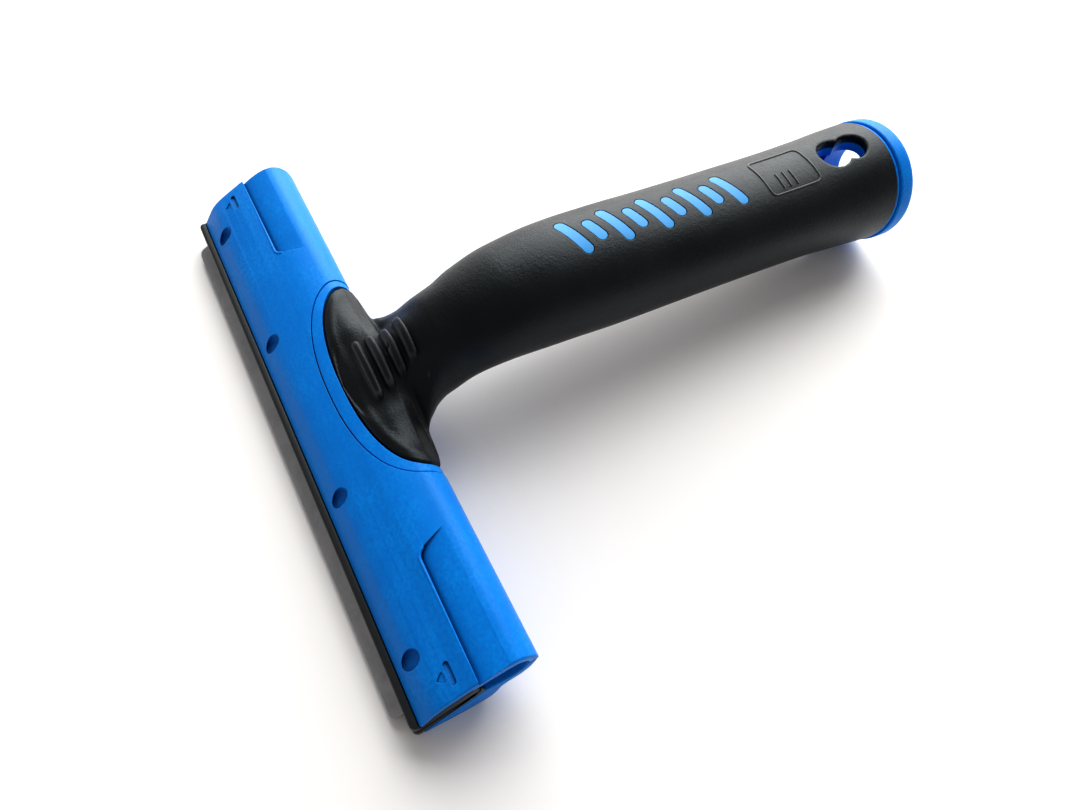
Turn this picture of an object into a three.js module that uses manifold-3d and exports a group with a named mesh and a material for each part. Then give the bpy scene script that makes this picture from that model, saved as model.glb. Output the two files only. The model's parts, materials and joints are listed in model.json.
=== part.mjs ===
// Wide-blade surface scraper with a cranked soft grip.
// A holder with the blade slides endways out of the hollow head.
// Millimetres. +X along the head, +Y from the blade to the handle's end, +Z up.
// The origin is the middle of the head, on the table that the head's flat underside lies on.
import * as THREE from "three";
import { mergeVertices } from "three/addons/utils/BufferGeometryUtils.js";
import Module from "manifold-3d";

const wasm = await Module();
wasm.setup();

// ---------------------------------------------------------------- driving sizes
const headLength = 160; // both shells
const shellGap = 0.3; // between pieces that touch
const partingZ = 13.8; // where the two shells meet at the back

const bladeLength = 150;
const bladeDepth = 19;
const bladeThick = 0.6;
const bladeTilt = THREE.MathUtils.degToRad(26.5);
const bladeEdge = [-13.3, 1.85]; // y, z of the cutting edge
const bladeReach = 3.4; // how far the blade stands out of the holder
const bladeGap = 0.25; // blade to each jaw

const holderOverhang = 0; // holder past the shells, each end
const bladeClear = 1.2; // behind the blade, in its slot
const spineThick = 1.8; // the lower jaw's back wall
const lowJaw = 1.9;
const highJaw = 3.1;
const slideGap = 0.3; // holder to the shells

const pinRadius = 1.4;
const pinInset = 7.5; // outer pins from the blade's ends
const pinSpacing = 50; // between the two inner pins
const pinDepth = 12; // from the cutting edge
const pinClearance = 0.15;

const cutHalfWidth = 32.3; // the neck's cut-out in the upper shell
const cutFront = 3;
const neckPower = 2.3; // 2 would be an ellipse; more is fuller
const neckCentreY = 19.5;
const bandSide = 2.5; // the core's band between the cut-out and the soft grip
const bandFront = 3.8;
const shieldThick = 1.7;
const tongueInset = 2.3; // the core's tongue, narrower than the soft grip's edge
const tongueFloor = 9.9;
const headBack = 20.3; // behind the shells
const cavityBack = 12.4; // hollow behind the holder, in front of the screw bosses

const handleLength = 146.3; // from the back of the head to the end ring's seam
const handleStart = headBack;
const gripWall = 2.6;
const coreWall = 2.6;
const boreStart = 52;
const endTilt = THREE.MathUtils.degToRad(-8);
const ringLength = 5.4;
const ringProud = 0.35; // past the grip all round
const rimThick = 1.2;
const rimGroove = 0.5;
const plugLength = 2.6; // the end ring's sleeve, inside the core
const sleeveWall = 1.1;

const holeLobeFront = 4.9; // hanging hole: two lobes
const holeLobeBack = 4.4;
const holeLobeSpacing = 6;
const holeToSeam = 6.6; // back lobe's centre to the seam

const ribCount = 4;
const ribWidth = 2.3;
const ribHeight = 1.0;
const pitDepth = 0.9;

const barCount = 9;
const barWidth = 2.6;
const barLength = 12.4;
const barStart = 50.5; // from the back of the head
const barPitch = 5.9;
const barLean = 1.6;
const barGap = 0.2;

const screwHead = 2.4; // radius
const screwHeadHeight = 1.2;
const screwShank = 1.2;
const screwLength = 8.5;
const screwClearance = 0.15;
const screwY = 15.6;
const bossRadius = 3.0;
const shellScrewX = [headLength / 2 - 10, headLength / 2 - 38];
const neckScrewX = 15;

const springLength = 16; // the leaf that holds the blade holder still
const springWidth = 5;
const springThick = 0.4;
const springRise = 1.1;
const springU = 14; // its middle, back from the cutting edge
const springX = 44; // from the head's middle

const dimpleRadius = 2.4;
const dimpleY = -4.3;
const dimpleFloor = 10.6;

const recessLength = 31.5; // thumb recess, from each end
const recessFront = 5.9;
const recessDepth = 1.4;

// ---------------------------------------------------------------- helpers
const blue = { color: 0x0a5fd0, roughness: 0.42, metalness: 0 };
const softBlack = { color: 0x17181a, roughness: 0.75, metalness: 0 };
const hardBlack = { color: 0x242628, roughness: 0.5, metalness: 0 };
const steel = { color: 0xb9bcc0, roughness: 0.28, metalness: 1 };

function solidOf(geometry) {
  const plain = geometry.clone();
  plain.deleteAttribute("normal");
  plain.deleteAttribute("uv");
  const merged = mergeVertices(plain, 1e-4);
  return new wasm.Manifold(
    new wasm.Mesh({
      numProp: 3,
      vertProperties: new Float32Array(merged.attributes.position.array),
      triVerts: new Uint32Array(merged.index.array),
    }),
  );
}

const group = new THREE.Group();
group.name = "blade_scraper";

function addNode(name, solid, look) {
  const made = solid.getMesh();
  const geometry = new THREE.BufferGeometry();
  const position = new THREE.BufferAttribute(new Float32Array(made.vertProperties), 3);
  geometry.setAttribute("position", position);
  geometry.setIndex(new THREE.BufferAttribute(new Uint32Array(made.triVerts), 1));
  geometry.computeVertexNormals();
  const mesh = new THREE.Mesh(geometry, new THREE.MeshStandardMaterial(look));
  mesh.name = name;
  group.add(mesh);
}

function shapeOf(points) {
  return new THREE.Shape(points.map(([a, b]) => new THREE.Vector2(a, b)));
}

// A section drawn in y and z, run along X.
const alongX = new THREE.Matrix4().set(0, 0, 1, 0, 1, 0, 0, 0, 0, 1, 0, 0, 0, 0, 0, 1);
function prismX(points, x0, x1) {
  const geometry = new THREE.ExtrudeGeometry(shapeOf(points), { depth: x1 - x0, bevelEnabled: false });
  geometry.translate(0, 0, x0);
  return solidOf(geometry.applyMatrix4(alongX));
}

// An outline drawn in x and y, run along Z.
function prismZ(points, z0, z1) {
  const geometry = new THREE.ExtrudeGeometry(shapeOf(points), { depth: z1 - z0, bevelEnabled: false });
  return solidOf(geometry.translate(0, 0, z0));
}

function circlePoints(radius, x = 0, y = 0, count = 20) {
  const points = [];
  for (let i = 0; i < count; i++) {
    const turn = (i * 2 * Math.PI) / count;
    points.push([x + radius * Math.cos(turn), y + radius * Math.sin(turn)]);
  }
  return points;
}

// A bar with round ends from (x0, y0) to (x1, y1).
function barPoints(x0, y0, x1, y1, width, steps = 5) {
  const lean = Math.atan2(y1 - y0, x1 - x0);
  const points = [];
  for (const [x, y, start] of [
    [x1, y1, lean - Math.PI / 2],
    [x0, y0, lean + Math.PI / 2],
  ])
    for (let i = 0; i <= steps; i++) {
      const turn = start + (i * Math.PI) / steps;
      points.push([x + (width / 2) * Math.cos(turn), y + (width / 2) * Math.sin(turn)]);
    }
  return points;
}

function smooth(points, count) {
  const curve = new THREE.SplineCurve(points.map(([a, b]) => new THREE.Vector2(a, b)));
  return curve.getPoints(count).map((p) => [p.x, p.y]);
}

// An open path moved to its left by a distance.
function offsetPath(points, distance) {
  return points.map(([a, b], i) => {
    const before = points[Math.max(i - 1, 0)];
    const after = points[Math.min(i + 1, points.length - 1)];
    const run = Math.hypot(after[0] - before[0], after[1] - before[1]);
    return [a - (distance * (after[1] - before[1])) / run, b + (distance * (after[0] - before[0])) / run];
  });
}

// A point u back from the cutting edge along the blade and n above its middle plane, as y and z.
const lean = [Math.cos(bladeTilt), Math.sin(bladeTilt)];
function onBlade(u, n) {
  return [bladeEdge[0] + u * lean[0] - n * lean[1], bladeEdge[1] + u * lean[1] + n * lean[0]];
}

// Straight lines between the rows of a table, its first column in order.
function tableAt(rows, key, column) {
  const i = Math.min(Math.max(rows.findIndex((row) => row[0] >= key), 1), rows.length - 1);
  const [from, to] = [rows[i - 1], rows[i]];
  const share = Math.min(Math.max((key - from[0]) / (to[0] - from[0]), 0), 1);
  return from[column] + (to[column] - from[column]) * share;
}

// ---------------------------------------------------------------- head sections
const headTop = smooth(
  [
    [-8.2, 7.7],
    [-5.1, 11.9],
    [-3.1, 13.7],
    [-0.8, 15.1],
    [1.5, 16.3],
    [3.7, 17.4],
    [5.6, 18.3],
    [9.4, 19.6],
    [13.8, 20.2],
    [15.9, 19.8],
    [17.7, 18.6],
    [19.2, 16.5],
    [20, partingZ],
  ],
  26,
);
const headBottom = [
  [-8, 0.5],
  [-7.4, 0],
  [2, 0],
  [6, 0.6],
  [8.2, 1.3],
  [9.6, 2.6],
  [10.4, 4],
  [11.2, 5.6],
  [13.1, 6.7],
  [15.3, 7.35],
  [17.4, 8.9],
  [18.7, 10.9],
  [19.7, partingZ - shellGap],
];
const jawHalf = bladeThick / 2 + bladeGap;
const highJawTop = jawHalf + highJaw;
const lowJawUnder = -jawHalf - lowJaw;
const holderFront = bladeReach;
const slotEnd = bladeDepth + bladeClear;
const holderBack = slotEnd + spineThick;
const roofLow = [7.6, 1.75]; // the hollow's roof climbs between these two, over the pins
const roofHigh = [11.3, highJawTop - 0.35];
const roofOver = (u) => roofLow[1] + ((u - roofLow[0]) * (roofHigh[1] - roofLow[1])) / (roofHigh[0] - roofLow[0]);
const innerTop = [
  onBlade(6.8, 1.62),
  onBlade(...roofLow),
  onBlade(...roofHigh),
  onBlade(14.2, highJawTop + slideGap),
  onBlade(holderBack - 1, highJawTop + slideGap),
  [6.6, 15],
  [9.2, 15.9],
  [cavityBack, 16.9],
  [14.8, 17.3],
  [16.2, 16.6],
  [17.2, 15.4],
  [17.6, partingZ],
];
const innerBottom = [
  [17.3, partingZ - shellGap],
  [16.6, 11.7],
  [15.4, 10.4],
  [13.6, 9.6],
  [11, 9.4],
  onBlade(holderBack + slideGap, lowJawUnder - slideGap),
  onBlade(4.75, lowJawUnder - slideGap),
];
const halfHead = headLength / 2;
const shieldHalfWidth = cutHalfWidth - bandSide;
const shieldFront = cutFront + bandFront;
const tongueHalfWidth = shieldHalfWidth - tongueInset;

// The neck's outlines in plan: half of a full-shouldered oval, then straight back.
function neckOutline(halfWidth, front, grow, back) {
  const points = [[halfWidth + grow, back]];
  points.push([-halfWidth - grow, back]);
  for (let i = 0; i <= 24; i++) {
    const turn = (i * Math.PI) / 24;
    const across = -Math.sign(Math.cos(turn)) * Math.abs(Math.cos(turn)) ** (2 / neckPower);
    const down = Math.sin(turn) ** (2 / neckPower);
    points.push([(halfWidth + grow) * across, neckCentreY - (neckCentreY - front + grow) * down]);
  }
  return points;
}

// ---------------------------------------------------------------- screws
const shellScrews = shellScrewX.flatMap((x) => [-x, x]);
const neckScrews = [-neckScrewX, neckScrewX];
const screwTop = 8.4; // the face each head pulls on, inside its counterbore
const screwFace = screwTop - screwHeadHeight;

function screwHole(x, radius, z0, z1) {
  return prismZ(circlePoints(radius, x, screwY, 14), z0, z1);
}

// ---------------------------------------------------------------- upper shell
let upper = prismX([...headTop, ...[...innerTop].reverse()], -halfHead, halfHead);
upper = upper.subtract(prismZ(neckOutline(cutHalfWidth, cutFront, 0, 30), 5, 40));
for (const side of [-1, 1]) {
  const inner = side * (halfHead - recessLength);
  const outline = [
    [side * (halfHead + 2), recessFront],
    [inner + side * 3, recessFront],
    [inner + side * 0.8, recessFront + 0.8],
    [inner, recessFront + 2.4],
    [inner - side * 2.6, 13.2],
    [side * (halfHead + 2), 13.2],
  ];
  if (side < 0) outline.reverse();
  const recessTop = [[recessFront - 2, 30], [13.4, 30], [13.4, 19.95], [9.4, 19.6 - recessDepth]];
  recessTop.push([recessFront, 18.3 - recessDepth], [recessFront - 2, 17.4 - recessDepth]);
  recessTop.reverse();
  const recess = prismX(recessTop, -halfHead - 3, halfHead + 3);
  upper = upper.subtract(recess.intersect(prismZ(outline, 5, 40)));
}
const bossLimit = [
  [8, 11.2],
  [15.8, 11.2],
  [16.7, 13],
  [16.9, partingZ],
  [19, partingZ],
  ...offsetPath(headTop, -0.6).filter(([y, z]) => y > 8 && z > partingZ).reverse(),
];
for (const x of shellScrews)
  upper = upper.add(screwHole(x, bossRadius, 11.2, 19).intersect(prismX(bossLimit, -halfHead, halfHead)));
const dimpleX = [pinSpacing / 2, bladeLength / 2 - pinInset].flatMap((x) => [-x, x]);
for (const x of dimpleX) {
  upper = upper.subtract(prismZ(circlePoints(dimpleRadius, x, dimpleY, 18), dimpleFloor, 20));
}
for (const side of [-1, 1]) {
  const x = side * (halfHead - 5.2);
  const slot = prismZ(barPoints(x - 2, 1.6, x + 2, 1.6, 1.3), 15.9, 20);
  const tip = prismZ(
    [
      [x + 1.9, 0.2],
      [x - 1.9, 0.2],
      [x, -1.9],
    ].reverse(),
    14.9,
    20,
  );
  upper = upper.subtract(slot).subtract(tip);
}
for (const x of shellScrews) upper = upper.subtract(screwHole(x, screwShank + screwClearance, 5, 17.6));
addNode("head_upper_shell", upper, blue);

// ---------------------------------------------------------------- lower shell
let lower = prismX([...headBottom, ...innerBottom], -halfHead, halfHead);
for (const x of shellScrews) lower = lower.add(screwHole(x, bossRadius, 9, 10.9));
const notch = prismX([[14, tongueFloor - shellGap], [24, tongueFloor - shellGap], [24, 20], [14, 20]], -1, 1);
lower = lower.subtract(notch.scale([tongueHalfWidth + 0.4, 1, 1]));
for (const x of [...shellScrews, ...neckScrews]) {
  lower = lower.subtract(screwHole(x, screwHead + screwClearance, 3, screwTop));
  lower = lower.subtract(screwHole(x, screwShank + screwClearance, 3, 14));
}
const springBed = lowJawUnder - slideGap - springRise - 0.5; // bottom of the pocket, across the blade
for (const side of [-1, 1]) {
  const reach = springLength / 2 + 1;
  const pocket = [
    onBlade(springU - springWidth / 2 - 0.4, springBed),
    onBlade(springU + springWidth / 2 + 0.4, springBed),
    onBlade(springU + springWidth / 2 + 0.4, 0),
    onBlade(springU - springWidth / 2 - 0.4, 0),
  ];
  lower = lower.subtract(prismX(pocket, side * springX - reach, side * springX + reach));
}
addNode("head_lower_shell", lower, blue);

// ---------------------------------------------------------------- blade holder
const halfHolder = halfHead + holderOverhang;
const highJawSection = [
  onBlade(holderFront + 0.2, jawHalf),
  onBlade(holderBack, jawHalf),
  onBlade(holderBack, highJawTop - 0.7),
  onBlade(holderBack - 0.8, highJawTop),
  onBlade(14.3, highJawTop),
  onBlade(11.5, highJawTop - 0.75),
  onBlade(7.8, 1.4),
  onBlade(6.5, 1.25),
  [-8.5, 7.8],
  [-9.8, 7.8],
  [-10.3, 7.2],
];
const lowJawSection = [
  onBlade(holderFront + 0.2, -jawHalf),
  [-10.25, 1.7],
  [-9.7, 1],
  [-8.5, 0.9],
  onBlade(5.2, lowJawUnder),
  onBlade(holderBack - 0.7, lowJawUnder),
  onBlade(holderBack, lowJawUnder + 0.7),
  onBlade(holderBack, jawHalf - shellGap),
  onBlade(slotEnd, jawHalf - shellGap),
  onBlade(slotEnd, -jawHalf),
];

// A round pin through the blade, standing square to it.
function acrossBlade(radius, x, u, n0, n1, count = 14) {
  const geometry = new THREE.ExtrudeGeometry(shapeOf(circlePoints(radius, 0, 0, count)), {
    depth: n1 - n0,
    bevelEnabled: false,
  });
  const [y, z] = onBlade(u, n0);
  return solidOf(geometry.rotateX(bladeTilt).translate(x, y, z));
}

const pinX = dimpleX;
const pinTop = roofOver(pinDepth - pinRadius) - slideGap; // clears the roof at its front edge
const pinBottom = lowJawUnder + 0.5;
let highJawSolid = prismX(highJawSection.reverse(), -halfHolder, halfHolder);
let lowJawSolid = prismX(lowJawSection, -halfHolder, halfHolder);
for (const x of pinX) {
  highJawSolid = highJawSolid.subtract(acrossBlade(pinRadius + pinClearance, x, pinDepth, 0, pinTop + 5));
  lowJawSolid = lowJawSolid.subtract(acrossBlade(pinRadius + pinClearance, x, pinDepth, -6, 0));
}
// A leaf bowed up against the holder's underside.
function bowedLeaf(x) {
  const outline = [];
  const steps = 10;
  const [low, high] = [springBed + 0.2, springBed + 0.2 + springThick];
  for (let i = 0; i <= steps; i++) {
    const share = (2 * i) / steps - 1;
    outline.push([(share * springLength) / 2, low + springRise * Math.cos((share * Math.PI) / 2) ** 2]);
  }
  for (let i = steps; i >= 0; i--) {
    const share = (2 * i) / steps - 1;
    outline.push([(share * springLength) / 2, high + springRise * Math.cos((share * Math.PI) / 2) ** 2]);
  }
  const geometry = new THREE.ExtrudeGeometry(shapeOf(outline), { depth: springWidth, bevelEnabled: false });
  geometry.rotateX(Math.PI / 2).translate(0, springWidth / 2, 0);
  const [y, z] = onBlade(springU, 0);
  return solidOf(geometry.rotateX(bladeTilt).translate(x, y, z));
}
addNode("holder_upper_jaw", highJawSolid, hardBlack);
addNode("holder_lower_jaw", lowJawSolid, hardBlack);
[-springX, springX].forEach((x, i) => addNode("detent_spring_" + (i + 1), bowedLeaf(x), steel));
pinX.forEach((x, i) => {
  addNode("holder_pin_" + (i + 1), acrossBlade(pinRadius, x, pinDepth, pinBottom, pinTop), steel);
});

// ---------------------------------------------------------------- blade
// Its slots are open at the back, so it draws forward off the pins.
const halfBlade = bladeLength / 2;
const cornerRadius = 1.6;
const bladeOutline = [
  [-halfBlade, bladeDepth],
  [-halfBlade, cornerRadius],
  [-halfBlade + 0.3 * cornerRadius, 0.3 * cornerRadius],
  [-halfBlade + cornerRadius, 0],
  [halfBlade - cornerRadius, 0],
  [halfBlade - 0.3 * cornerRadius, 0.3 * cornerRadius],
  [halfBlade, cornerRadius],
  [halfBlade, bladeDepth],
];
const slotHalf = pinRadius + 0.3;
for (const x of [...pinX].sort((a, b) => b - a)) {
  bladeOutline.push([x + slotHalf, bladeDepth]);
  for (let i = 0; i <= 8; i++) {
    const turn = -(i * Math.PI) / 8;
    bladeOutline.push([x + slotHalf * Math.cos(turn), pinDepth + slotHalf * Math.sin(turn)]);
  }
  bladeOutline.push([x - slotHalf, bladeDepth]);
}
const bladeBody = new THREE.ExtrudeGeometry(shapeOf(bladeOutline), { depth: bladeThick, bevelEnabled: false });
bladeBody.translate(0, 0, -bladeThick / 2).rotateX(bladeTilt).translate(0, ...bladeEdge);
const honed = prismX(
  [
    onBlade(-1, 0.02),
    onBlade(1.5, bladeThick / 2 + 0.02),
    onBlade(1.5, 2),
    onBlade(-1, 2),
  ],
  -halfBlade - 1,
  halfBlade + 1,
);
addNode("blade", solidOf(bladeBody).subtract(honed), steel);

// ---------------------------------------------------------------- handle shape
// Rows: y from the back of the head, ridge, floor, side height, flare, half-width.
// Rows past the neck move with the handle's length, and the neck's widths with the cut-out's.
const neckHalf = 12.8;
const spread = (share) => neckHalf + share * (shieldHalfWidth - neckHalf);
const neckRows = [
  [-13.6, 19.1, 14, 18.7, 1, spread(1)],
  [-10.3, 20.5, 14, 19.7, 1, spread(1)],
  [-6.8, 22.4, 13, 20.1, 1, spread(1)],
  [-2.8, 24.9, 10, 18.7, 1, spread(1)],
  [-0.8, 26.3, 8.2, 16.2, 1, spread(1)],
  [0.3, 27.1, 7.6, 14.8, 0.95, spread(0.8)],
  [0.9, 27.6, 7.3, 14.8, 0.85, spread(0.4)],
  [2.2, 28.6, 7, 16, 0.7, spread(0.27)],
  [4.2, 30.2, 6.9, 17, 0.5, spread(0.16)],
  [6.7, 31.9, 7, 18.2, 0.25, spread(0.05)],
  [9.7, 33.4, 7.6, 19.8, 0, spread(0)],
  [14.7, 35.6, 10.1, 21.8, 0, neckHalf],
];
const gripRows = [
  [0.142, 37.8, 13.2, 24.7, 0, 13.9],
  [0.213, 40.7, 12, 27.6, 0, 14.8],
  [0.297, 42.4, 10.6, 28.1, 0, 15.5],
  [0.408, 40.8, 9.5, 26.7, 0, 16.1],
  [0.538, 38.6, 8.6, 25.1, 0, 16.2],
  [0.676, 36.8, 7.3, 23.5, 0, 16.3],
  [0.824, 35.2, 5.2, 21.7, 0, 16.5],
  [0.9, 35, 3.2, 20.5, 0, 16.8],
  [0.955, 35.1, 2.1, 19.5, 0, 17.2],
  [1.035, 34.9, 0.5, 17.6, 0, 17.6],
];
const handleRows = [...neckRows, ...gripRows.map(([share, ...rest]) => [share * handleLength, ...rest])];

function handleAt(y) {
  const key = y - handleStart;
  let [ridge, floor, side, flare, half] = [1, 2, 3, 4, 5].map((column) => tableAt(handleRows, key, column));
  if (y < neckCentreY) {
    const back = (neckCentreY - y) / (neckCentreY - shieldFront);
    half = shieldHalfWidth * Math.max(1 - back ** neckPower, 0.004) ** (1 / neckPower);
  }
  return { ridge, floor, side, flare, half };
}

// One ring of the handle in the plane at y, shrunk by a wall, as x and z.
const ringSteps = 12;
function handleRing(y, wall, narrow) {
  const at = handleAt(y);
  const half = (y < handleStart + 9 ? Math.min(at.half, narrow) : at.half) - wall;
  const [ridge, floor] = [at.ridge - wall, at.floor + wall];
  const side = Math.min(Math.max(at.side, floor + 0.5), ridge - 0.5);
  const reach = 12.5;
  const edge = Math.exp(-((half / reach) ** 2));
  const ring = [];
  for (let i = 0; i < ringSteps; i++) {
    const turn = (i * Math.PI) / ringSteps;
    const x = half * Math.cos(turn);
    const bell = (Math.exp(-((x / reach) ** 2)) - edge) / (1 - edge);
    const round = Math.sin(turn);
    ring.push([x, side + (ridge - side) * (at.flare * bell + (1 - at.flare) * round)]);
  }
  for (let i = 0; i < ringSteps; i++) {
    const turn = (i * Math.PI) / ringSteps;
    ring.push([-half * Math.cos(turn), side - (side - floor) * Math.sin(turn)]);
  }
  return ring;
}

// A closed skin through one ring at each y.
function loft(ys, wall = 0, narrow = 99) {
  const count = ringSteps * 2;
  const vertices = [];
  const faces = [];
  ys.forEach((y) => handleRing(y, wall, narrow).forEach(([x, z]) => vertices.push(x, y, z)));
  for (let k = 0; k + 1 < ys.length; k++)
    for (let i = 0; i < count; i++) {
      const [a, b] = [k * count + i, k * count + ((i + 1) % count)];
      faces.push(a, a + count, b, b, a + count, b + count);
    }
  for (const [k, turned] of [
    [0, false],
    [ys.length - 1, true],
  ]) {
    const first = k * count;
    for (let i = 1; i + 1 < count; i++)
      faces.push(first, ...(turned ? [first + i + 1, first + i] : [first + i, first + i + 1]));
  }
  const solid = new wasm.Manifold(
    new wasm.Mesh({ numProp: 3, vertProperties: new Float32Array(vertices), triVerts: new Uint32Array(faces) }),
  );
  return solid;
}

const seamY = handleStart + handleLength;
const seamZ = handleAt(seamY).side;
const handleEnd = seamY + 5;
const neckYs = [6.9, 7.2, 7.8, 8.8, 10.2, 12, 14.5, 17, 19.5, 20.6, 21.2, 22.5, 24.5, 27, 30, 35];
const bodyYs = [0.142, 0.213, 0.27, 0.33, 0.408, 0.538, 0.676, 0.824, 0.9, 0.955, 1.034];
const handleYs = [...neckYs, ...bodyYs.map((share) => handleStart + share * handleLength)];

// Everything before, or after, a plane square to the handle's end, moved back by a distance.
function endSlice(from, to) {
  const box = prismX([[from, -40], [to, -40], [to, 40], [from, 40]], -40, 40);
  return box.rotate([THREE.MathUtils.radToDeg(endTilt), 0, 0]).translate([0, seamY, seamZ]);
}

function ringDisc(wall, from, to) {
  const depth = to - from;
  const end = handleAt(seamY);
  const [half, tall] = [end.half - wall, (end.ridge - end.floor) / 2 - wall];
  const points = circlePoints(1, 0, 0, 40).map(([x, y]) => [x * half, y * tall]);
  const geometry = new THREE.ExtrudeGeometry(shapeOf(points), { depth, bevelEnabled: false });
  geometry.rotateX(-Math.PI / 2).translate(0, from, 0);
  const middle = (end.ridge + end.floor) / 2;
  return solidOf(geometry).rotate([THREE.MathUtils.radToDeg(endTilt), 0, 0]).translate([0, seamY, middle]);
}

// ---------------------------------------------------------------- handle core
const coreYs = [...neckYs.filter((y) => y >= 14.5), ...bodyYs.map((share) => handleStart + share * handleLength)];
const coreGap = gripWall - shellGap;
const narrowCore = 13.6;
const tongueBack = headBack - shellGap;
const flangeSection = (drop, from) => [
  ...offsetPath(headTop, -drop).filter(([y]) => y > from && y < tongueBack),
  [tongueBack, partingZ],
  [tongueBack, tongueFloor],
  [cavityBack, tongueFloor],
  [cavityBack, 16.9],
  [9.2, 15.9],
  [6.6, 15],
  onBlade(holderBack - 1, highJawTop + slideGap),
];
const tongueLimit = prismZ(
  [[-tongueHalfWidth, -5], [tongueHalfWidth, -5], [tongueHalfWidth, 30], [-tongueHalfWidth, 30]],
  0,
  partingZ + 0.1,
).add(prismZ([[-50, -5], [50, -5], [50, 30], [-50, 30]], partingZ + 0.1, 40));
const bandCut = prismZ(neckOutline(shieldHalfWidth, shieldFront, shellGap, 30), 0, 40);
const flangePlan = prismZ(neckOutline(cutHalfWidth, cutFront, -0.5, 30), 0, 40);
let flange = prismX(flangeSection(0.15, cutFront - 0.4), -40, 40).intersect(flangePlan).subtract(bandCut);
flange = flange.add(prismX(flangeSection(shieldThick, cutFront - 0.4), -40, 40).intersect(flangePlan));
flange = flange.intersect(tongueLimit);
let core = loft(coreYs, gripWall, narrowCore).subtract(endSlice(0, 30));
core = core.add(flange);
const boreYs = handleYs.filter((y) => y > handleStart + boreStart - 10);
let bore = loft(boreYs, gripWall + coreWall, narrowCore + coreWall);
bore = bore.add(ringDisc(gripWall + coreWall, -plugLength, 8));
core = core.add(ringDisc(0.2, shellGap, rimThick)).add(ringDisc(gripWall + 0.1, -0.5, rimThick));
core = core.subtract(bore);

const holeY = seamY - holeToSeam;
function hangHole(grow) {
  const back = prismZ(circlePoints(holeLobeBack + grow, 0, holeY, 24), -5, 50);
  const front = prismZ(circlePoints(holeLobeFront + grow, 0, holeY - holeLobeSpacing, 24), -5, 50);
  return back.add(front);
}
core = core.subtract(hangHole(0));

// ---------------------------------------------------------------- soft grip
const pitWidth = 23;
const ribFirst = 13.6;
const ribLast = 24.4;
const pitPlan = barPoints(0, ribFirst - 0.5, 0, ribLast + 0.5, pitWidth, 8);
let grip = loft(handleYs).subtract(endSlice(0, 30));
const shallow = loft(handleYs, pitDepth);
const pit = prismZ(pitPlan, 10, 60).subtract(shallow);
grip = grip.subtract(pit);
for (let i = 0; i < ribCount; i++) {
  const y = ribFirst + (i * (ribLast - ribFirst)) / (ribCount - 1);
  const half = 10 - i * 0.9 - ribWidth / 2;
  const rib = prismZ(barPoints(-half, y, half, y, ribWidth, 4), 15, 60);
  grip = grip.add(rib.intersect(loft(handleYs, pitDepth - ribHeight)));
}
const headEnvelope = [
  ...offsetPath(headTop, 0.25 - shieldThick).filter(([, z]) => z > partingZ + shellGap),
  [headBack, partingZ + shellGap],
  [headBack, -10],
  [-20, -10],
];
grip = grip.subtract(prismX(headEnvelope, -45, 45));
grip = grip.subtract(loft(coreYs, coreGap, narrowCore)).subtract(hangHole(0));

const barSolids = [];
for (let i = 0; i < barCount; i++) {
  const y = handleStart + barStart + i * barPitch;
  const half = ((i % 2 ? 0.62 : 1) * barLength - barWidth) / 2;
  barSolids.push([-half, y - barLean, half, y + barLean]);
}
for (const bar of barSolids) {
  const window = prismZ(barPoints(...bar, barWidth + 2 * barGap, 4), 26, 60);
  grip = grip.subtract(window);
  const boss = prismZ(barPoints(...bar, barWidth, 4), 26, 60).intersect(loft(handleYs, 0.1));
  core = core.add(boss.subtract(bore));
}
for (const x of neckScrews) core = core.subtract(screwHole(x, screwShank + screwClearance, 5, 17));
addNode("handle_core", core, blue);
addNode("grip_sleeve", grip, softBlack);

// ---------------------------------------------------------------- end ring
// The handle is an open tube; the ring finishes its end.
const ringFrom = rimThick + rimGroove;
const sleeve = gripWall + coreWall + shellGap;
let endRing = ringDisc(-ringProud, ringFrom, ringFrom + ringLength * 0.7);
endRing = endRing.add(ringDisc(0.7, ringFrom + ringLength * 0.7 - 0.1, ringFrom + ringLength));
endRing = endRing.add(ringDisc(1.4, rimThick + shellGap, ringFrom + 0.5));
endRing = endRing.add(ringDisc(sleeve, ringFrom - rimGroove - plugLength, ringFrom + 1));
endRing = endRing.subtract(ringDisc(sleeve + sleeveWall, -20, 20)).subtract(hangHole(shellGap));
addNode("end_ring", endRing, blue);

// ---------------------------------------------------------------- screws
function screwSolid(x) {
  let screw = screwHole(x, screwHead, screwFace, screwTop - 0.05);
  screw = screw.add(screwHole(x, screwShank, screwTop - 0.3, screwTop - 0.05 + screwLength));
  const cross = prismZ([[-1.4, -0.3], [1.4, -0.3], [1.4, 0.3], [-1.4, 0.3]], screwFace - 1, screwFace + 0.6);
  for (const turn of [0, 90]) screw = screw.subtract(cross.rotate([0, 0, turn]).translate([x, screwY, 0]));
  return screw;
}
shellScrews.forEach((x, i) => addNode("shell_screw_" + (i + 1), screwSolid(x), steel));
neckScrews.forEach((x, i) => addNode("neck_screw_" + (i + 1), screwSolid(x), steel));

export default group;
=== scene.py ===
import json
import math
import bpy
from mathutils import Matrix, Vector

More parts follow.
